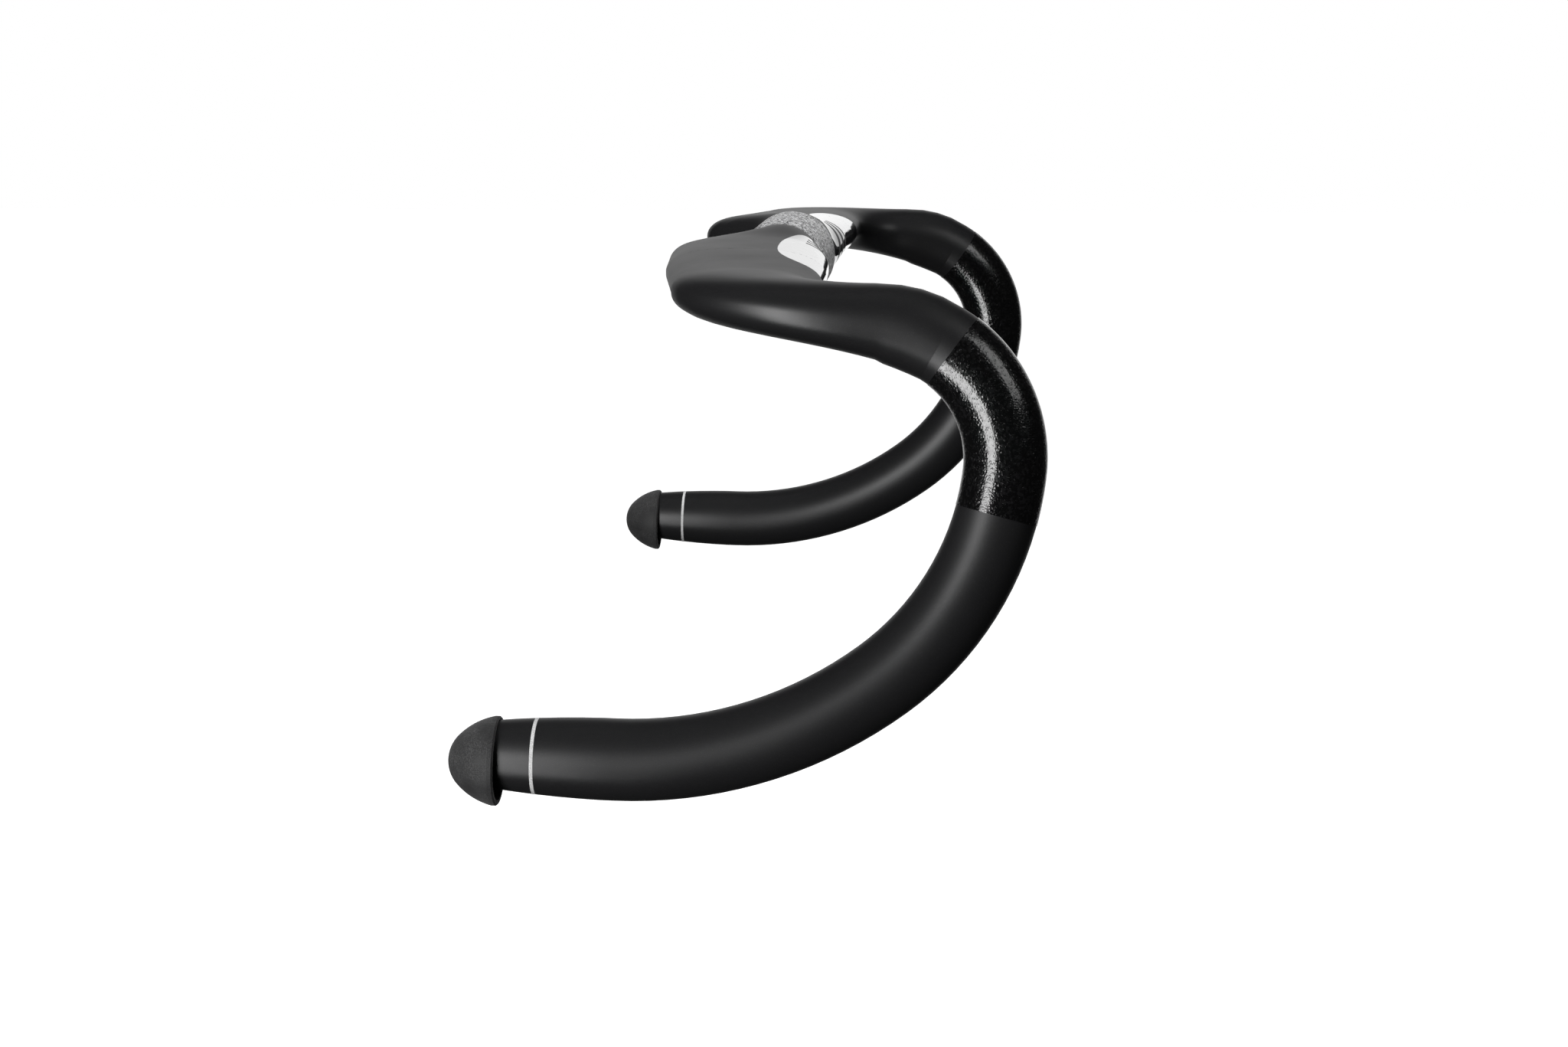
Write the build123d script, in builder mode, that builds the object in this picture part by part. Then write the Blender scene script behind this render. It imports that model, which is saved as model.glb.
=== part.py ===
"""Aero road drop handlebar with rubber end plugs, in millimetres.

Frame: +X is the way the bicycle rolls, +Y is the rider's left and +Z is up. The origin is the
centre of the round stem seat. The bar is a hollow moulded wing with that seat in its middle,
and a hollow drop is sleeved and bonded into each end of the wing. A rubber plug closes the
open end of each drop.
"""

import os
from math import asin, cos, degrees, radians, sin

from build123d import *

# ---- round tube and laminate ----
TUBE_R = 11.9
WALL = 2.2

# ---- stem seat ----
SEAT_R = 15.9
SEAT_HALF = 28.0  # half length of the straight round seat
SHOULDER_R = 15.2  # where the seat's shoulder meets the wing
SHOULDER_HALF = 38.0
SEAT_BORE_R = 12.9
SEAT_GRIT = 0.08  # thickness of the gritty coat

# ---- wing: reach forward, back, up and down from the seat's axis ----
WING_FULL_Y = 68.0  # full chord from here outward
WING_FRONT = 18.3
WING_REAR = 34.6
WING_TOP = 12.8
WING_BOTTOM = 8.3
WING_LIFT = 1.5  # how far the rear edge curls up
WING_SQUARE = 2.35  # 2 is an ellipse, more is boxier
JOINT_Y = 105.0  # each drop is bonded on here
JOINT_FRONT = 19.4
JOINT_REAR = 31.9
JOINT_TOP = 11.4
JOINT_BOTTOM = 7.5

# ---- corner from wing to ramp, turned about a pivot ahead of the wing ----
PIVOT_X = 38.0
PIVOT_Y = 165.0
CORNER_INNER = 18.0  # pivot to the concave side
CORNER_OUTER = 62.0  # pivot to the rear edge where the turn starts
RAMP_OUTER = 44.0  # and where it ends
CORNER_TOP = 9.6  # where the turn starts
CORNER_BOTTOM = 6.2
RAMP_TOP = 7.8  # where it ends
RAMP_BOTTOM = 14.0
RAMP_SQUARE = 2.15
RAMP_SWELL = 0.6  # how much the ramp thickens half way to the round tube
RAMP_BEND_X = 49.0  # the ramp's course and the hook's meet here

# ---- hook: three tangent arcs and a straight in one plane that leans outward ----
HOOK_Y = 196.4  # centreline from the middle plane, at the height of the seat's axis
FLARE = 8.0
HOOK_X = 57.0
HOOK_DROP = 9.3
HOOK_HEADING = 30.6  # down from level where the hook starts, in degrees
HOOK_RADII = (37.9, 86.2, 123.2)
HOOK_TURNS = (66.0, 46.8, 38.2)
ROUND_STEP = 0.03  # the lofted end stays this far inside the round tube it runs into
STRAIGHT = 4.0

# ---- tapered end of each drop ----
TAPER_LENGTH = 33.0
TAPER_R = 9.7
TAPER_MID = 12.0  # the taper is still this full so far from the open end
TAPER_MID_SHARE = 0.55
BORE_R = 7.8
BORE_DEPTH = 30.0
TRIM_FROM_END = 14.0
TRIM_WIDTH = 1.0
TRIM_SHARE = 0.57  # from the end's radius to the tube's, at the middle of the ring's thickness
TRIM_THICK = 0.3

# ---- lever zones ----
LEVER_START = 6.0  # degrees into the first arc of the hook
LEVER_END = 8.0  # degrees into the second
LEVER_GRIT = 0.15

# ---- bonding sleeves ----
SLEEVE_HALF = 16.0
SLEEVE_WALL = 1.6
BOND_GAP = 0.2

# ---- rubber end plug, sizes along it counted from the open end of the tube ----
PLUG_CLEAR = 0.05  # radial, ribs to bore
PLUG_SEAT = 0.05  # cap to the end of the tube
PLUG_STEM = 24.0
PLUG_STEM_BORE = 4.2
PLUG_RIB_DEEP = 0.6
PLUG_RIBS = 4
PLUG_RIM_R = 13.0
PLUG_SKIRT = 1.5
PLUG_DROP = 1.9  # the cap sits this far below the axis of the tube
PLUG_TUBE_GAP = 0.25
PLUG_LIP = 3.2
PLUG_CAP = 11.6
PLUG_NOSE = 2.6  # depth of the rounded nose
PLUG_NOSE_R = 6.9  # where the nose meets the side of the cap

os.makedirs("parts", exist_ok=True)


def blend(low, high, share):
    """The value a given share of the way from low to high."""
    return low + (high - low) * share


def ease(share):
    """A share of the way that starts and ends gently."""
    return share * share * (3 - 2 * share)


def section(inner, outer, top, bottom, square, lift, shrink):
    """Upper and lower run of points of a section, u from the concave side out and v up."""
    half_width = (inner + outer) / 2 - shrink
    half_height = (top + bottom) / 2 - shrink
    points = []
    for step in range(25):
        turn = radians(15 * step)
        across = abs(cos(turn)) ** (2 / square) * (1 if cos(turn) > 0 else -1)
        up = abs(sin(turn)) ** (2 / square) * (1 if sin(turn) > 0 else -1)
        u = (outer - inner) / 2 + half_width * across
        v = (top - bottom) / 2 + half_height * up + lift * max(0, across) ** 2
        points.append((u, v))
    return points[:13], points[12:24] + points[:1]


def wing_station(y, shrink):
    """Plane and section of the wing on the rider's right, y out from the middle."""
    plane = Plane(origin=(0, -y, 0), x_dir=(-1, 0, 0), z_dir=(0, 1, 0))
    if y < WING_FULL_Y:
        s = ease((y - SHOULDER_HALF) / (WING_FULL_Y - SHOULDER_HALF))
        front = blend(SHOULDER_R, WING_FRONT, s)
        rear = blend(SHOULDER_R, WING_REAR, s)
        top = blend(SHOULDER_R, WING_TOP, s)
        bottom = blend(SHOULDER_R, WING_BOTTOM, s)
        square = blend(2, WING_SQUARE, s)
        return plane, section(front, rear, top, bottom, square, WING_LIFT * s, shrink)
    if y < JOINT_Y:
        s = (y - WING_FULL_Y) / (JOINT_Y - WING_FULL_Y)
        front = blend(WING_FRONT, JOINT_FRONT, s)
        rear = blend(WING_REAR, JOINT_REAR, s)
        top = blend(WING_TOP, JOINT_TOP, s)
        bottom = blend(WING_BOTTOM, JOINT_BOTTOM, s)
    else:
        s = (y - JOINT_Y) / (PIVOT_Y - JOINT_Y)
        front = blend(JOINT_FRONT, PIVOT_X - CORNER_INNER, s)
        rear = blend(JOINT_REAR, CORNER_OUTER - PIVOT_X, s)
        top = blend(JOINT_TOP, CORNER_TOP, s)
        bottom = blend(JOINT_BOTTOM, CORNER_BOTTOM, s)
    return plane, section(front, rear, top, bottom, WING_SQUARE, WING_LIFT, shrink)


def corner_station(angle, shrink):
    """Plane and section of the corner, turned so many degrees about the pivot."""
    c, s = cos(radians(angle)), sin(radians(angle))
    plane = Plane(origin=(PIVOT_X, -PIVOT_Y, 0), x_dir=(-c, -s, 0), z_dir=(-s, c, 0))
    share = ease(angle / 90)
    outer = blend(CORNER_OUTER, RAMP_OUTER, share)
    top = blend(CORNER_TOP, RAMP_TOP, share)
    bottom = blend(CORNER_BOTTOM, RAMP_BOTTOM, (angle / 90) ** 1.8)
    square = blend(WING_SQUARE, RAMP_SQUARE, share)
    lift = WING_LIFT * (1 - share)
    return plane, section(-CORNER_INNER, outer, top, bottom, square, lift, shrink)


def course(degrees):
    """Direction in the hook's plane, so many degrees down from level."""
    return cos(radians(degrees)), -sin(radians(degrees))


# ---- centreline of the hook on the rider's right ----
hook_out = (0, -cos(radians(FLARE)), sin(radians(FLARE)))
hook_plane = Plane(origin=(0, -HOOK_Y, 0), x_dir=(1, 0, 0), z_dir=hook_out)
turned_1 = HOOK_HEADING + HOOK_TURNS[0]
turned_2 = turned_1 + HOOK_TURNS[1]
turned_3 = turned_2 + HOOK_TURNS[2]
with BuildLine(hook_plane) as hook:
    arc_1 = JernArc((HOOK_X, -HOOK_DROP), course(HOOK_HEADING), HOOK_RADII[0], -HOOK_TURNS[0])
    arc_2 = JernArc(arc_1 @ 1, course(turned_1), HOOK_RADII[1], -HOOK_TURNS[1])
    arc_3 = JernArc(arc_2 @ 1, course(turned_2), HOOK_RADII[2], -HOOK_TURNS[2])
    Line(arc_3 @ 1, (arc_3 @ 1) + (arc_3 % 1) * STRAIGHT)
hook_path = hook.wire()
hook_start = Plane(origin=hook_path @ 0, x_dir=hook_out, z_dir=-(hook_path % 0))

# centreline of the ramp, falling a little where it leaves the corner
ramp_y = -PIVOT_Y - (RAMP_OUTER + CORNER_INNER) / 2
ramp_z = (RAMP_TOP - RAMP_BOTTOM) / 2
tube_start = hook_path @ 0
tube_dir = hook_path % 0
ramp_bend = tube_start - tube_dir * ((tube_start.X - RAMP_BEND_X) / tube_dir.X)
with BuildLine() as ramp_line:
    ramp = Bezier((PIVOT_X, ramp_y, ramp_z), ramp_bend, tube_start)

# the lever zone follows the end of the first arc and the start of the second
lever_from = arc_1 @ (LEVER_START / HOOK_TURNS[0])
lever_turn = HOOK_TURNS[0] - LEVER_START
with BuildLine(hook_plane) as lever_zone:
    lever_1 = JernArc(lever_from, course(HOOK_HEADING + LEVER_START), HOOK_RADII[0], -lever_turn)
    JernArc(lever_1 @ 1, course(turned_1), HOOK_RADII[1], -LEVER_END)
lever_path = lever_zone.wire()
lever_start = Plane(origin=lever_path @ 0, x_dir=hook_out, z_dir=-(lever_path % 0))

# the end of the drop: x runs out along the tube, counted from its open end
end_dir = hook_path % 1
end_point = (hook_path @ 1) + end_dir * TAPER_LENGTH
end_plane = Plane(origin=end_point, x_dir=end_dir, z_dir=hook_out)
end_axis = Axis(end_point, end_dir)
taper_mid_r = blend(TAPER_R, TUBE_R, TAPER_MID_SHARE)
trim_r = blend(TAPER_R, TUBE_R, TRIM_SHARE)


def taper_points(gap):
    """Three points along the outside of the tapered end, raised by a gap."""
    return (-TAPER_LENGTH, TUBE_R + gap), (-TAPER_MID, taper_mid_r + gap), (0, TAPER_R + gap)


# ---- centre section: both halves of the wing, the seat and its shoulders ----
wing_ys = (SHOULDER_HALF, 41.0, 44.0, 47.0, 50.0, 54.0, 58.0, 63.0, WING_FULL_Y, JOINT_Y)

with BuildPart() as centre_section:
    for y in wing_ys:
        plane, (upper, lower) = wing_station(y, 0)
        with BuildSketch(plane):
            with BuildLine():
                Spline(*upper)
                Spline(*lower)
            make_face()
    loft(ruled=True)
    for y in wing_ys:
        plane, (upper, lower) = wing_station(y, WALL)
        with BuildSketch(plane):
            with BuildLine():
                Spline(*upper)
                Spline(*lower)
            make_face()
    loft(ruled=True, mode=Mode.SUBTRACT)
    mirror(about=Plane.XZ)
    with BuildSketch(Plane.XY):
        with BuildLine():
            Polyline(
                (SEAT_BORE_R, -SHOULDER_HALF),
                (SHOULDER_R - SEAT_GRIT, -SHOULDER_HALF),
                (SEAT_R - SEAT_GRIT, -SEAT_HALF),
                (SEAT_R - SEAT_GRIT, SEAT_HALF),
                (SHOULDER_R - SEAT_GRIT, SHOULDER_HALF),
                (SEAT_BORE_R, SHOULDER_HALF),
                close=True,
            )
        make_face()
    revolve(axis=Axis.Y)
centre_section.part.label = "centre_section"
export_step(centre_section.part, "parts/centre_section.step")

# ---- gritty coat on the seat and its shoulders, so a stem grips the bar ----
with BuildPart() as stem_grit_band:
    with BuildSketch(Plane.XY):
        with BuildLine():
            Polyline(
                (SHOULDER_R - SEAT_GRIT, -SHOULDER_HALF),
                (SHOULDER_R, -SHOULDER_HALF),
                (SEAT_R, -SEAT_HALF),
                (SEAT_R, SEAT_HALF),
                (SHOULDER_R, SHOULDER_HALF),
                (SHOULDER_R - SEAT_GRIT, SHOULDER_HALF),
                (SEAT_R - SEAT_GRIT, SEAT_HALF),
                (SEAT_R - SEAT_GRIT, -SEAT_HALF),
                close=True,
            )
        make_face()
    revolve(axis=Axis.Y)
stem_grit_band.part.label = "stem_grit_band"
export_step(stem_grit_band.part, "parts/stem_grit_band.step")


# ---- drop: end of the wing, corner, ramp, hook and tapered end ----
def ramp_station(share, shrink):
    """Plane and section of the ramp, so far along from the corner to the round tube."""
    out = (0, -cos(radians(FLARE * share)), sin(radians(FLARE * share)))
    plane = Plane(origin=ramp @ share, x_dir=out, z_dir=-(ramp % share))
    wide = blend((RAMP_OUTER - CORNER_INNER) / 2, TUBE_R - ROUND_STEP, share)
    high = blend((RAMP_TOP + RAMP_BOTTOM) / 2, TUBE_R - ROUND_STEP, share)
    high += RAMP_SWELL * 4 * share * (1 - share)
    square = blend(RAMP_SQUARE, 2, share)
    return plane, section(wide, wide, high, high, square, 0, shrink)


def drop_stations(shrink):
    """Planes and sections from the bonded joint to the round tube."""
    stations = [wing_station(y, shrink) for y in (JOINT_Y, 125.0, 145.0)]
    stations += [corner_station(7.5 * step, shrink) for step in range(13)]
    return stations + [ramp_station(share, shrink) for share in (0.25, 0.5, 0.75, 1)]


with BuildPart() as drop_right:
    for plane, (upper, lower) in drop_stations(0):
        with BuildSketch(plane):
            with BuildLine():
                Spline(*upper)
                Spline(*lower)
            make_face()
    loft(ruled=True)
    with BuildSketch(hook_start):
        Circle(TUBE_R)
    sweep(path=hook_path)
    with BuildSketch(end_plane):
        with BuildLine():
            side = Spline(*taper_points(0))
            Polyline(side @ 1, (0, 0), (-TAPER_LENGTH, 0), side @ 0)
        make_face()
    revolve(axis=end_axis)
    for plane, (upper, lower) in drop_stations(WALL):
        with BuildSketch(plane):
            with BuildLine():
                Spline(*upper)
                Spline(*lower)
            make_face()
    loft(ruled=True, mode=Mode.SUBTRACT)
    with BuildSketch(hook_start):
        Circle(TUBE_R - WALL)
    sweep(path=hook_path, mode=Mode.SUBTRACT)
    with BuildSketch(end_plane):
        with BuildLine():
            Polyline(
                (-TAPER_LENGTH, 0),
                (-TAPER_LENGTH, TUBE_R - WALL),
                (-BORE_DEPTH, BORE_R),
                (0, BORE_R),
                (0, 0),
                close=True,
            )
        make_face()
    revolve(axis=end_axis, mode=Mode.SUBTRACT)
    # groove of the printed ring
    with BuildSketch(end_plane):
        with Locations((-TRIM_FROM_END, trim_r)):
            Rectangle(TRIM_WIDTH, TRIM_THICK)
    revolve(axis=end_axis, mode=Mode.SUBTRACT)
drop_right.part.label = "drop_right"
export_step(drop_right.part, "parts/drop_right.step")

with BuildPart() as drop_left:
    add(mirror(drop_right.part, about=Plane.XZ))
drop_left.part.label = "drop_left"
export_step(drop_left.part, "parts/drop_left.step")

# ---- bonding sleeves inside both joints ----
sleeve_ys = (JOINT_Y - SLEEVE_HALF, JOINT_Y, JOINT_Y + SLEEVE_HALF)

with BuildPart() as bond_sleeve_right:
    for y in sleeve_ys:
        plane, (upper, lower) = wing_station(y, WALL + BOND_GAP)
        with BuildSketch(plane):
            with BuildLine():
                Spline(*upper)
                Spline(*lower)
            make_face()
    loft(ruled=True)
    for y in sleeve_ys:
        plane, (upper, lower) = wing_station(y, WALL + BOND_GAP + SLEEVE_WALL)
        with BuildSketch(plane):
            with BuildLine():
                Spline(*upper)
                Spline(*lower)
            make_face()
    loft(ruled=True, mode=Mode.SUBTRACT)
bond_sleeve_right.part.label = "bond_sleeve_right"
export_step(bond_sleeve_right.part, "parts/bond_sleeve_right.step")

with BuildPart() as bond_sleeve_left:
    add(mirror(bond_sleeve_right.part, about=Plane.XZ))
bond_sleeve_left.part.label = "bond_sleeve_left"
export_step(bond_sleeve_left.part, "parts/bond_sleeve_left.step")

# ---- gritty coats under the brake lever clamps ----
with BuildPart() as lever_grit_right:
    with BuildSketch(lever_start):
        Circle(TUBE_R + LEVER_GRIT)
        Circle(TUBE_R, mode=Mode.SUBTRACT)
    sweep(path=lever_path)
lever_grit_right.part.label = "lever_grit_right"
export_step(lever_grit_right.part, "parts/lever_grit_right.step")

with BuildPart() as lever_grit_left:
    add(mirror(lever_grit_right.part, about=Plane.XZ))
lever_grit_left.part.label = "lever_grit_left"
export_step(lever_grit_left.part, "parts/lever_grit_left.step")

# ---- pale rings printed round the tapered ends ----
with BuildPart() as trim_ring_right:
    with BuildSketch(end_plane):
        with Locations((-TRIM_FROM_END, trim_r)):
            Rectangle(TRIM_WIDTH, TRIM_THICK)
    revolve(axis=end_axis)
trim_ring_right.part.label = "trim_ring_right"
export_step(trim_ring_right.part, "parts/trim_ring_right.step")

with BuildPart() as trim_ring_left:
    add(mirror(trim_ring_right.part, about=Plane.XZ))
trim_ring_left.part.label = "trim_ring_left"
export_step(trim_ring_left.part, "parts/trim_ring_left.step")

# ---- rubber end plugs: ribbed hollow stem, and a mushroom cap that sits a little low ----
rib_r = BORE_R - PLUG_CLEAR
stem_r = rib_r - PLUG_RIB_DEEP
rib_pitch = PLUG_STEM / (PLUG_RIBS + 0.5)
rib_points = []
for rib in range(PLUG_RIBS):
    back = -PLUG_STEM + rib * rib_pitch
    rib_points += [
        (back, stem_r),
        (back + 0.25 * rib_pitch, rib_r),
        (back + 0.6 * rib_pitch, rib_r),
        (back + 0.7 * rib_pitch, stem_r),
    ]
nose_bend = (PLUG_NOSE_R**2 + PLUG_NOSE**2) / (2 * PLUG_NOSE)
nose_turn = degrees(asin(PLUG_NOSE_R / nose_bend))
cap_origin = end_plane.from_local_coords((0, PLUG_DROP, 0))
cap_plane = Plane(origin=cap_origin, x_dir=end_dir, z_dir=hook_out)
cap_axis = Axis(cap_origin, end_dir)

with BuildPart() as end_plug_right:
    with BuildSketch(cap_plane):
        with BuildLine():
            Polyline(
                (PLUG_CAP, 0),
                (PLUG_SEAT, 0),
                (PLUG_SEAT, PLUG_RIM_R - PLUG_SKIRT),
                (-PLUG_LIP, PLUG_RIM_R - PLUG_SKIRT),
                (-PLUG_LIP, PLUG_RIM_R - 0.4),
                (-PLUG_LIP + 0.4, PLUG_RIM_R),
                (-PLUG_LIP + 1.6, PLUG_RIM_R),
            )
            nose = JernArc((PLUG_CAP, 0), (0, 1), nose_bend, nose_turn)
            Spline(
                nose @ 1,
                (0.5 * (PLUG_CAP - PLUG_NOSE), blend(PLUG_NOSE_R, PLUG_RIM_R, 0.6)),
                (-PLUG_LIP + 1.6, PLUG_RIM_R),
            )
        make_face()
    revolve(axis=cap_axis)
    # room for the tube where the low cap comes close to it
    with BuildSketch(end_plane):
        with BuildLine():
            room = Spline(*taper_points(PLUG_TUBE_GAP))
            Polyline(room @ 1, (PLUG_SEAT, TAPER_R + PLUG_TUBE_GAP), (PLUG_SEAT, 0))
            Polyline((PLUG_SEAT, 0), (-TAPER_LENGTH, 0), room @ 0)
        make_face()
    revolve(axis=end_axis, mode=Mode.SUBTRACT)
    with BuildSketch(end_plane):
        with BuildLine():
            Polyline(
                (2, 0),
                (-PLUG_LIP, 0),
                (-PLUG_LIP, PLUG_STEM_BORE),
                (-PLUG_STEM, PLUG_STEM_BORE),
                *rib_points,
                (2, stem_r),
                (2, 0),
            )
        make_face()
    revolve(axis=end_axis)
end_plug_right.part.label = "end_plug_right"
export_step(end_plug_right.part, "parts/end_plug_right.step")

with BuildPart() as end_plug_left:
    add(mirror(end_plug_right.part, about=Plane.XZ))
end_plug_left.part.label = "end_plug_left"
export_step(end_plug_left.part, "parts/end_plug_left.step")
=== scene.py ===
"""Looks of the aero drop handlebar: satin and gloss lacquer, grit, print and rubber."""

from math import radians

import bpy
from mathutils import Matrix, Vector


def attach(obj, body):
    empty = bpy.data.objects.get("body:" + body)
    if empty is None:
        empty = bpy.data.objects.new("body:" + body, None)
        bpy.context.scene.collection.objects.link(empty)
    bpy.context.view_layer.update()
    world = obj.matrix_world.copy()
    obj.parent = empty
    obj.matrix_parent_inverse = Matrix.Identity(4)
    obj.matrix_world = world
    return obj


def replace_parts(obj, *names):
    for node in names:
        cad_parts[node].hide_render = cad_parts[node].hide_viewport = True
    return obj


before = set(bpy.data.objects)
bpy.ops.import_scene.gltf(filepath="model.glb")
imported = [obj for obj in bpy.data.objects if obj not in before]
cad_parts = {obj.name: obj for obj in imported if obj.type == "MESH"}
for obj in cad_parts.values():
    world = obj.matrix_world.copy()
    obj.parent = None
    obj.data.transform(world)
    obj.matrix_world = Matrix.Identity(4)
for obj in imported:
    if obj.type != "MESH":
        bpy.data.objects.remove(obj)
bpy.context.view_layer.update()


# ==== centre section ====
# The hollow wing with the stem seat in its middle, moulded in carbon laminate. Its black
# lacquer is satin, apart from a gloss field that wraps the leading edge beside the seat and
# holds a few plain satin bars. Each moulding is shown as a copy with its facets smoothed.
SATIN_BLACK = (0.012, 0.012, 0.0128, 1)
GLOSS_BLACK = (0.006, 0.006, 0.0065, 1)
DUST_GREY = (0.03, 0.03, 0.032, 1)
SATIN_ROUGH = 0.43
GLOSS_ROUGH = 0.07
CLEAR_ROUGH = 0.03  # of the clear coat over the gloss field
HAZE_DRIFT = 0.03  # how far the satin drifts in roughness, either way
PEEL_GRAIN, WAVE_GRAIN, HAZE_GRAIN, DUST_GRAIN = 900, 55, 26, 5200  # noise scales, per metre
WAVE_SHARE = 1.6  # height of the slow waves against the orange peel
PEEL_BUMP, PEEL_DEPTH = 0.05, 0.0002
FIELD_REACH = Vector((0.0175, 0.047, 0.03))  # half sizes of the gloss field along X, Y and Z
FIELD_CENTRE = Vector((0.0205, 0.086, 0.004))
FIELD_POWER = 2.4  # 2 is an ellipse, and more is squarer
FIELD_SOFT = 0.03  # how quickly the field's edge fades, as a share of its reach
BAR_PITCH = 0.0062
BAR_FROM, BAR_TO = 0.049, 0.0676  # where the bars start and end, out from the middle plane
BAR_REAR = 0.0105
BAR_SOFT = 0.0001
MERGE = 0.00001
CREASE = 32  # degrees, past which an edge stays sharp


def feed(tree, value, socket):
    """Links a socket to its source, or sets it to a plain value."""
    if isinstance(value, bpy.types.NodeSocket):
        tree.links.new(value, socket)
    elif value is not None:
        socket.default_value = value


def math_node(tree, operation, first, second=None):
    """A Math node fed by sockets or numbers, and returns its output."""
    node = tree.nodes.new("ShaderNodeMath")
    node.operation = operation
    feed(tree, first, node.inputs[0])
    feed(tree, second, node.inputs[1])
    return node.outputs[0]


def noise_node(tree, place, scale, detail):
    """A 3-D noise texture at a place socket, and returns its value."""
    node = tree.nodes.new("ShaderNodeTexNoise")
    node.inputs["Scale"].default_value = scale
    node.inputs["Detail"].default_value = detail
    tree.links.new(place, node.inputs["Vector"])
    return node.outputs[0]


def ramp_node(tree, value, low, high, to_low=0.0, to_high=1.0):
    """Map Range from low..high to to_low..to_high, clamped, and returns its output."""
    node = tree.nodes.new("ShaderNodeMapRange")
    feed(tree, value, node.inputs["Value"])
    feed(tree, low, node.inputs["From Min"])
    feed(tree, high, node.inputs["From Max"])
    feed(tree, to_low, node.inputs["To Min"])
    feed(tree, to_high, node.inputs["To Max"])
    return node.outputs[0]


def colour_mix(tree, share, first, second):
    """Mixes two colours by a share socket, and returns the colour output."""
    node = tree.nodes.new("ShaderNodeMix")
    node.data_type = "RGBA"
    feed(tree, share, node.inputs["Factor"])
    feed(tree, first, node.inputs["A"])
    feed(tree, second, node.inputs["B"])
    return node.outputs["Result"]


def bump_node(tree, height, strength, distance):
    """A Bump node for a height socket, and returns its normal."""
    node = tree.nodes.new("ShaderNodeBump")
    node.inputs["Strength"].default_value = strength
    node.inputs["Distance"].default_value = distance
    tree.links.new(height, node.inputs["Height"])
    return node.outputs["Normal"]


def new_material(name):
    """A material, its node tree, its Principled BSDF and its Object coordinates."""
    made = bpy.data.materials.new(name)
    made.use_nodes = True
    tree = made.node_tree
    coords = tree.nodes.new("ShaderNodeTexCoord").outputs["Object"]
    return made, tree, tree.nodes["Principled BSDF"], coords


def gloss_field(tree, coords):
    """Mask of the gloss field on both sides of the seat, with its satin bars left out."""
    split = tree.nodes.new("ShaderNodeSeparateXYZ")
    tree.links.new(coords, split.inputs[0])
    x, y, z = split.outputs
    side = math_node(tree, "ABSOLUTE", y)
    total = None
    for socket, middle, reach in zip((x, side, z), FIELD_CENTRE, FIELD_REACH):
        part = math_node(tree, "MULTIPLY", math_node(tree, "SUBTRACT", socket, middle), 1 / reach)
        part = math_node(tree, "POWER", math_node(tree, "ABSOLUTE", part), FIELD_POWER)
        total = part if total is None else math_node(tree, "ADD", total, part)
    inside = ramp_node(tree, total, 1, 1 + FIELD_SOFT, 1, 0)
    wave = math_node(tree, "PINGPONG", math_node(tree, "SUBTRACT", side, BAR_FROM), BAR_PITCH / 2)
    bars = ramp_node(tree, wave, BAR_PITCH * 0.24, BAR_PITCH * 0.26)
    for limit in (
        ramp_node(tree, x, BAR_REAR, BAR_REAR + BAR_SOFT),
        ramp_node(tree, side, BAR_TO, BAR_TO + BAR_SOFT, 1, 0),
        ramp_node(tree, side, BAR_FROM - BAR_SOFT, BAR_FROM),
    ):
        bars = math_node(tree, "MULTIPLY", bars, limit)
    return math_node(tree, "MULTIPLY", inside, ramp_node(tree, bars, 0, 1, 1, 0))


def lacquer_material():
    """Satin black lacquer with orange peel, haze and dust, and the gloss field in it."""
    made, tree, shader, coords = new_material("black_lacquer")
    gloss = gloss_field(tree, coords)
    dust = ramp_node(tree, noise_node(tree, coords, DUST_GRAIN, 1), 0.62, 0.75)
    tone = colour_mix(tree, gloss, colour_mix(tree, dust, SATIN_BLACK, DUST_GREY), GLOSS_BLACK)
    tree.links.new(tone, shader.inputs["Base Color"])
    haze = ramp_node(
        tree, noise_node(tree, coords, HAZE_GRAIN, 4), 0.3, 0.7, -HAZE_DRIFT, HAZE_DRIFT
    )
    satin = math_node(tree, "ADD", haze, SATIN_ROUGH)
    polish = ramp_node(tree, gloss, 0, 1, 1, GLOSS_ROUGH / SATIN_ROUGH)
    tree.links.new(math_node(tree, "MULTIPLY", satin, polish), shader.inputs["Roughness"])
    waves = math_node(tree, "MULTIPLY", noise_node(tree, coords, WAVE_GRAIN, 3), WAVE_SHARE)
    height = math_node(tree, "ADD", noise_node(tree, coords, PEEL_GRAIN, 2), waves)
    tree.links.new(bump_node(tree, height, PEEL_BUMP, PEEL_DEPTH), shader.inputs["Normal"])
    tree.links.new(gloss, shader.inputs["Coat Weight"])
    shader.inputs["Coat Roughness"].default_value = CLEAR_ROUGH
    return made


def sprayed_skin(node, name, material):
    """A shown copy of a moulding with its facets merged and smoothed, in place of its node."""
    skin = bpy.data.objects.new(name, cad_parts[node].data.copy())
    bpy.context.scene.collection.objects.link(skin)
    bpy.ops.object.select_all(action="DESELECT")
    skin.select_set(True)
    bpy.context.view_layer.objects.active = skin
    bpy.ops.mesh.customdata_custom_splitnormals_clear()
    bpy.ops.object.mode_set(mode="EDIT")
    bpy.ops.mesh.select_all(action="SELECT")
    bpy.ops.mesh.remove_doubles(threshold=MERGE)
    bpy.ops.object.mode_set(mode="OBJECT")
    bpy.ops.object.shade_smooth_by_angle(angle=radians(CREASE))
    skin.data.materials.clear()
    skin.data.materials.append(material)
    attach(skin, "bar")
    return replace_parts(skin, node)


black_lacquer = lacquer_material()
sprayed_skin("centre_section", "wing_skin", black_lacquer)


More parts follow.
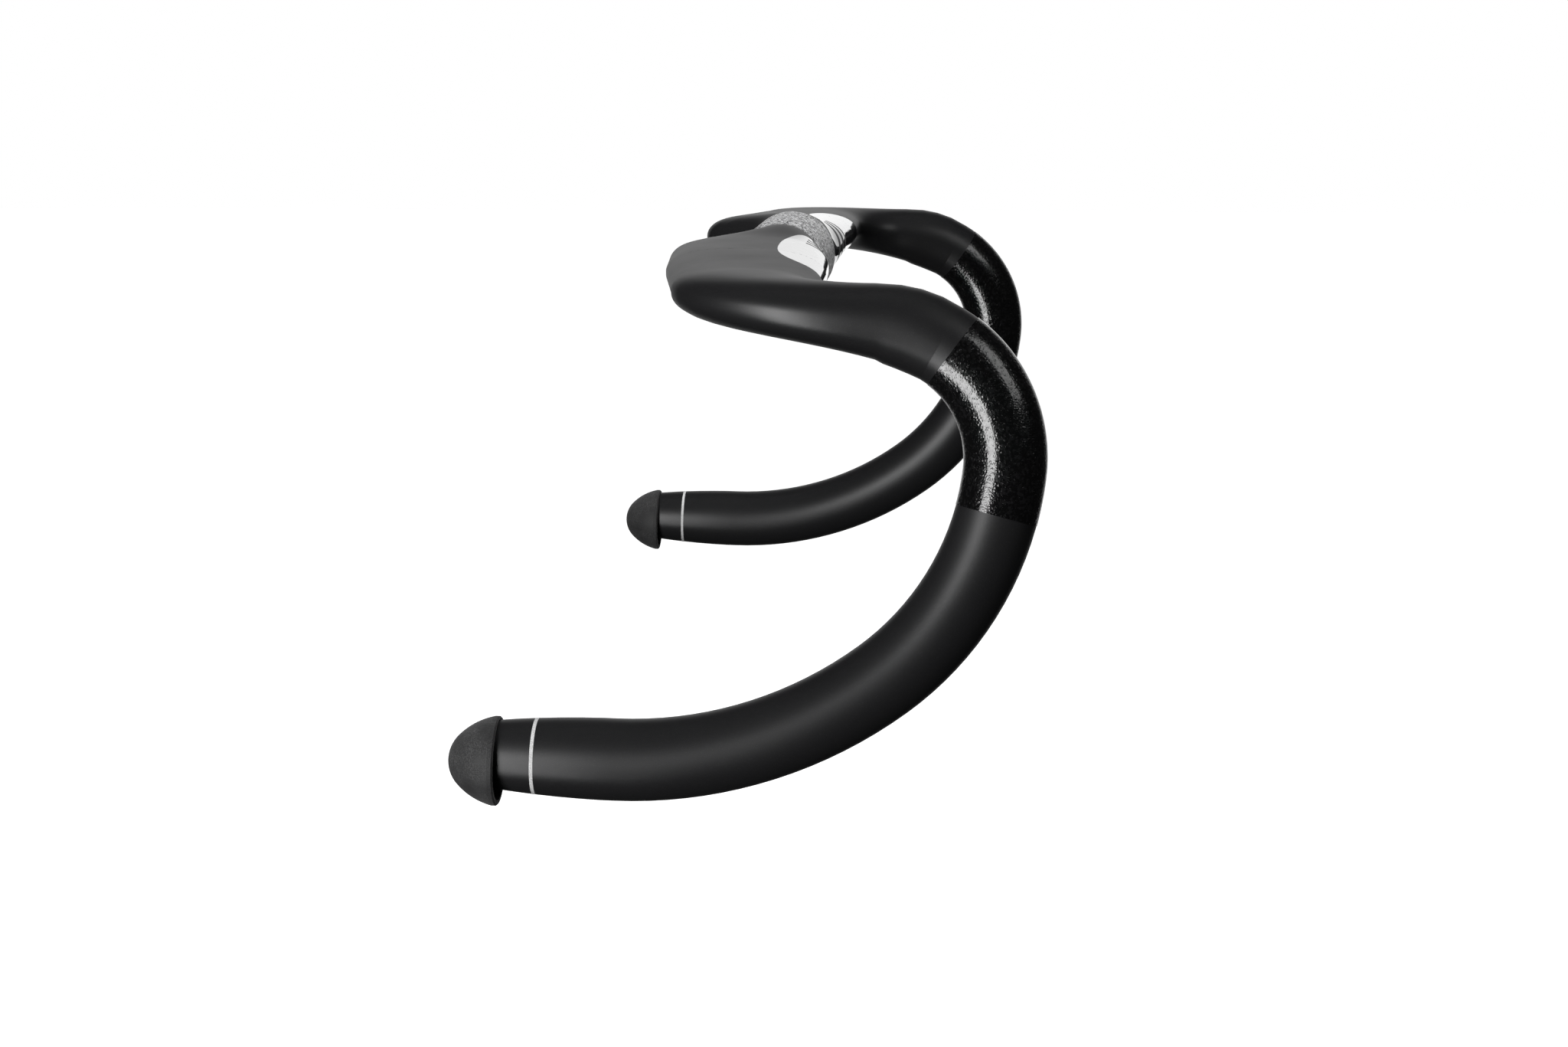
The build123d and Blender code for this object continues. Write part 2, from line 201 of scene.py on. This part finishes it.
# ==== grit on the stem seat ====
# Coarse clear grit in resin, sprayed round the seat and its shoulders so that a stem grips.
# Many of the grains get a pale grey colour, a painted glint that stands for the light they
# catch, so the coat looks silver against the black lacquer.
GRIT_GRAIN = 1500  # grains per metre
GRIT_BUMP = 0.9
GRAIN_RIM = 0.7  # distance from a grain's middle at which its dome meets the resin
SEAT_RESIN = (0.02, 0.02, 0.021, 1)
# pale grey on the grains drawn by chance: a painted glint, standing for light caught by clear
# grains
SEAT_PAINTED_GLINT = (0.75, 0.75, 0.76, 1)


def node_group(name, inputs, outputs):
    """A shader node group with named sockets, and its input and output nodes."""
    made = bpy.data.node_groups.new(name, "ShaderNodeTree")
    for label, kind in inputs:
        made.interface.new_socket(label, in_out="INPUT", socket_type=kind)
    for label, kind in outputs:
        made.interface.new_socket(label, in_out="OUTPUT", socket_type=kind)
    return made, made.nodes.new("NodeGroupInput"), made.nodes.new("NodeGroupOutput")


grit, given, out = node_group(
    "grit_surface",
    [
        ("Place", "NodeSocketVector"),
        ("Resin", "NodeSocketColor"),
        ("Glint", "NodeSocketColor"),
        ("Glint From", "NodeSocketFloat"),
        ("Glint To", "NodeSocketFloat"),
        ("Rough", "NodeSocketFloat"),
    ],
    [("Color", "NodeSocketColor"), ("Roughness", "NodeSocketFloat"), ("Height", "NodeSocketFloat")],
)
grains = grit.nodes.new("ShaderNodeTexVoronoi")
grains.inputs["Scale"].default_value = GRIT_GRAIN
grit.links.new(given.outputs["Place"], grains.inputs["Vector"])
draw = grit.nodes.new("ShaderNodeSeparateColor")  # three chance values for each grain
grit.links.new(grains.outputs["Color"], draw.inputs[0])
# the Glint colour laid on the grains drawn by chance is a painted glint
painted_glint_mask = ramp_node(grit, draw.outputs[0], given.outputs["Glint From"], given.outputs["Glint To"])
painted_glint_tone = colour_mix(grit, painted_glint_mask, given.outputs["Resin"], given.outputs["Glint"])
grit.links.new(painted_glint_tone, out.inputs["Color"])
spread = ramp_node(grit, draw.outputs[1], 0, 1, 0.6, 1.5)
grit.links.new(math_node(grit, "MULTIPLY", spread, given.outputs["Rough"]), out.inputs["Roughness"])
dome = ramp_node(grit, grains.outputs["Distance"], 0, GRAIN_RIM, 1, 0)
grit.links.new(math_node(grit, "MULTIPLY", dome, draw.outputs[2]), out.inputs["Height"])


def grit_material(name, resin, painted_glint, painted_glint_share, rough, depth, clear_coat):
    """Clear grit over black: dark resin with grains that carry a painted glint in their colour,
    under a smooth coat or none.
    """
    made, tree, shader, coords = new_material(name)
    surface = tree.nodes.new("ShaderNodeGroup")
    surface.node_tree = grit
    tree.links.new(coords, surface.inputs["Place"])
    surface.inputs["Resin"].default_value = resin
    surface.inputs["Glint"].default_value = painted_glint
    surface.inputs["Glint From"].default_value = 1 - painted_glint_share
    surface.inputs["Glint To"].default_value = 1 - painted_glint_share * 0.6
    surface.inputs["Rough"].default_value = rough
    tree.links.new(surface.outputs["Color"], shader.inputs["Base Color"])
    tree.links.new(surface.outputs["Roughness"], shader.inputs["Roughness"])
    normal = bump_node(tree, surface.outputs["Height"], GRIT_BUMP, depth)
    tree.links.new(normal, shader.inputs["Normal"])
    shader.inputs["Coat Weight"].default_value = clear_coat
    shader.inputs["Coat Roughness"].default_value = 0.04
    return made


def paint(node, material):
    """Gives a CAD node that one material."""
    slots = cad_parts[node].data.materials
    slots.clear()
    slots.append(material)


stem_grit = grit_material(
    "stem_grit",
    SEAT_RESIN,
    SEAT_PAINTED_GLINT,
    painted_glint_share=0.6,
    rough=0.45,
    depth=0.00025,
    clear_coat=0,
)
paint("stem_grit_band", stem_grit)


# ==== drops ====
# One hollow moulding each side, from the bonded joint through the corner and the hook to the
# open end. It wears the wing's lacquer, so the gloss field runs on over the joint.
for side_name in ("right", "left"):
    sprayed_skin("drop_" + side_name, "drop_skin_" + side_name, black_lacquer)


# ==== bonding sleeves ====
# Short inner sleeves of bare laminate that join the drops to the wing. They stay unpainted, so
# the woven tows show.
TOW_SCALE = 500
TOW_DARK = (0.02, 0.02, 0.021, 1)
TOW_LIGHT = (0.05, 0.05, 0.053, 1)
TOW_BUMP, TOW_DEPTH = 0.3, 0.0001


def bare_laminate():
    """Bare carbon cloth: two crossed sets of tows."""
    made, tree, shader, coords = new_material("bare_laminate")
    checks = tree.nodes.new("ShaderNodeTexChecker")
    checks.inputs["Scale"].default_value = TOW_SCALE
    tree.links.new(coords, checks.inputs["Vector"])
    weave = checks.outputs["Fac"]
    tree.links.new(colour_mix(tree, weave, TOW_DARK, TOW_LIGHT), shader.inputs["Base Color"])
    tree.links.new(ramp_node(tree, weave, 0, 1, 0.35, 0.5), shader.inputs["Roughness"])
    tree.links.new(bump_node(tree, weave, TOW_BUMP, TOW_DEPTH), shader.inputs["Normal"])
    return made


sleeve_finish = bare_laminate()
for node in ("bond_sleeve_right", "bond_sleeve_left"):
    paint(node, sleeve_finish)


# ==== grit under the brake levers ====
# The same grit in a gloss resin, sprayed where the lever straps clamp. It is blacker, and it
# sparkles only where a light glances off; its grains carry just a faint painted glint in their
# colour.
LEVER_RESIN = (0.003, 0.003, 0.0032, 1)
# barely lighter than the resin: a faint painted glint on the grains
LEVER_PAINTED_GLINT = (0.008, 0.008, 0.0085, 1)

lever_grit = grit_material(
    "lever_grit",
    LEVER_RESIN,
    LEVER_PAINTED_GLINT,
    painted_glint_share=0.35,
    rough=0.17,
    depth=0.00009,
    clear_coat=0.25,
)
for node in ("lever_grit_right", "lever_grit_left"):
    paint(node, lever_grit)


# ==== printed trim rings ====
# A fine pale ring printed round each tapered end, which marks how short the bar may be cut.
# The ink is thin and a little uneven.
INK_GRAIN = 3000
INK_THIN = (0.55, 0.55, 0.55, 1)
INK_FULL = (0.82, 0.82, 0.82, 1)


def print_material():
    """Pale grey ink, thin enough to let a little black through."""
    made, tree, shader, coords = new_material("trim_print")
    cover = ramp_node(tree, noise_node(tree, coords, INK_GRAIN, 2), 0.35, 0.65)
    tree.links.new(colour_mix(tree, cover, INK_THIN, INK_FULL), shader.inputs["Base Color"])
    tree.links.new(ramp_node(tree, cover, 0, 1, 0.6, 0.5), shader.inputs["Roughness"])
    return made


ring_ink = print_material()
for node in ("trim_ring_right", "trim_ring_left"):
    paint(node, ring_ink)


# ==== end plugs ====
# Moulded rubber: a ribbed stem pushed into the tube and a mushroom cap over its end. The cap is
# matt and holds pale dust in its pores.
PORE_GRAIN, SMUDGE_GRAIN = 2600, 160
PORE_BUMP, PORE_DEPTH = 0.35, 0.0002
RUBBER_BLACK = (0.018, 0.018, 0.0185, 1)
RUBBER_DUST = (0.085, 0.085, 0.086, 1)


def rubber_material():
    """Matt charcoal rubber with dust in its pores."""
    made, tree, shader, coords = new_material("plug_rubber")
    pores = noise_node(tree, coords, PORE_GRAIN, 4)
    smudge = noise_node(tree, coords, SMUDGE_GRAIN, 4)
    smudged = ramp_node(tree, smudge, 0.3, 0.7)
    dust = math_node(tree, "MULTIPLY", ramp_node(tree, pores, 0.42, 0.7), smudged)
    tree.links.new(colour_mix(tree, dust, RUBBER_BLACK, RUBBER_DUST), shader.inputs["Base Color"])
    tree.links.new(ramp_node(tree, smudge, 0.3, 0.7, 0.62, 0.8), shader.inputs["Roughness"])
    tree.links.new(bump_node(tree, pores, PORE_BUMP, PORE_DEPTH), shader.inputs["Normal"])
    shader.inputs["Sheen Weight"].default_value = 0.12
    shader.inputs["Sheen Roughness"].default_value = 0.5
    return made


rubber = rubber_material()
for node in ("end_plug_right", "end_plug_left"):
    paint(node, rubber)


# ==== studio ====
# White surroundings behind the bar and a pale floor well below it. The side behind the camera
# is dark, so the black lacquer stays black, and soft boxes draw its highlights.
FLOOR_Z = -0.42
FLOOR_HALF = 8.0
FLOOR_WHITE = (0.9, 0.9, 0.9, 1)
FLOOR_ROUGH = 0.9
SWEEP_START, SWEEP_FULL = 0.8, 0.99  # how far round to the back the surroundings turn white
ROOM_DARK, ROOM_WHITE = 0.015, 1.0

bpy.ops.object.select_all(action="DESELECT")
bpy.ops.mesh.primitive_plane_add(size=2 * FLOOR_HALF, location=(0, 0, FLOOR_Z))
floor = bpy.context.active_object
floor.name = "floor"
floor.visible_glossy = False
floor.visible_diffuse = False
pale = bpy.data.materials.new("pale_floor")
pale.use_nodes = True
pale_shader = pale.node_tree.nodes["Principled BSDF"]
pale_shader.inputs["Base Color"].default_value = FLOOR_WHITE
pale_shader.inputs["Roughness"].default_value = FLOOR_ROUGH
pale_shader.inputs["Emission Color"].default_value = (1, 1, 1, 1)
pale_shader.inputs["Emission Strength"].default_value = 1
floor.data.materials.append(pale)

world = bpy.data.worlds.new("studio_room")
bpy.context.scene.world = world
world.use_nodes = True
room = world.node_tree
backdrop = room.nodes["Background"]
backdrop.inputs["Color"].default_value = (1, 1, 1, 1)
way = room.nodes.new("ShaderNodeSeparateXYZ")
room.links.new(room.nodes.new("ShaderNodeTexCoord").outputs["Generated"], way.inputs[0])
sweep = ramp_node(room, way.outputs[1], SWEEP_START, SWEEP_FULL, ROOM_DARK, ROOM_WHITE)
seen = room.nodes.new("ShaderNodeLightPath").outputs["Is Camera Ray"]
room.links.new(math_node(room, "MAXIMUM", sweep, seen), backdrop.inputs["Strength"])


def soft_box(name, place, aim, wide, high, power, mirrored):
    """A rectangular area light that points from its place to its aim, mirrored in gloss or not."""
    bpy.ops.object.light_add(type="AREA", location=place)
    light = bpy.context.active_object
    light.name = name
    light.data.shape = "RECTANGLE"
    light.data.size = wide
    light.data.size_y = high
    light.data.energy = power
    light.rotation_euler = (Vector(aim) - Vector(place)).to_track_quat("-Z", "Y").to_euler()
    light.visible_camera = False
    light.visible_glossy = mirrored


# overhead light that only the rough surfaces show, the long highlight along the rider's right
# side, and the grey band on the outer front of the hooks
soft_box("top_box", (0, 0.2, 1.2), (0, 0, 0), wide=1.0, high=0.8, power=14, mirrored=False)
soft_box(
    "key_box", (-0.66, -1.1, -0.33), (0, -0.2, -0.05), wide=0.5, high=1.35, power=26, mirrored=True
)
soft_box(
    "right_box", (1.0, -0.64, 0.76), (0.05, -0.2, 0), wide=0.55, high=0.6, power=2.8, mirrored=True
)


# ==== camera ====
# In front of the rider's right end of the bar, a little above it and looking slightly down.
# A longish lens keeps the near hook from swelling.
CAMERA_PLACE = (0.064, -0.9976, 0.072)
CAMERA_DROP = 9.473  # degrees below level
CAMERA_TURN = 3.725  # degrees round from square to the side
LENS, SENSOR = 64.4, 36

bpy.ops.object.camera_add(
    location=CAMERA_PLACE, rotation=(radians(90 - CAMERA_DROP), 0, radians(CAMERA_TURN))
)
camera = bpy.context.active_object
camera.data.lens = LENS
camera.data.sensor_width = SENSOR
bpy.context.scene.camera = camera
bpy.context.scene.view_settings.view_transform = "Standard"
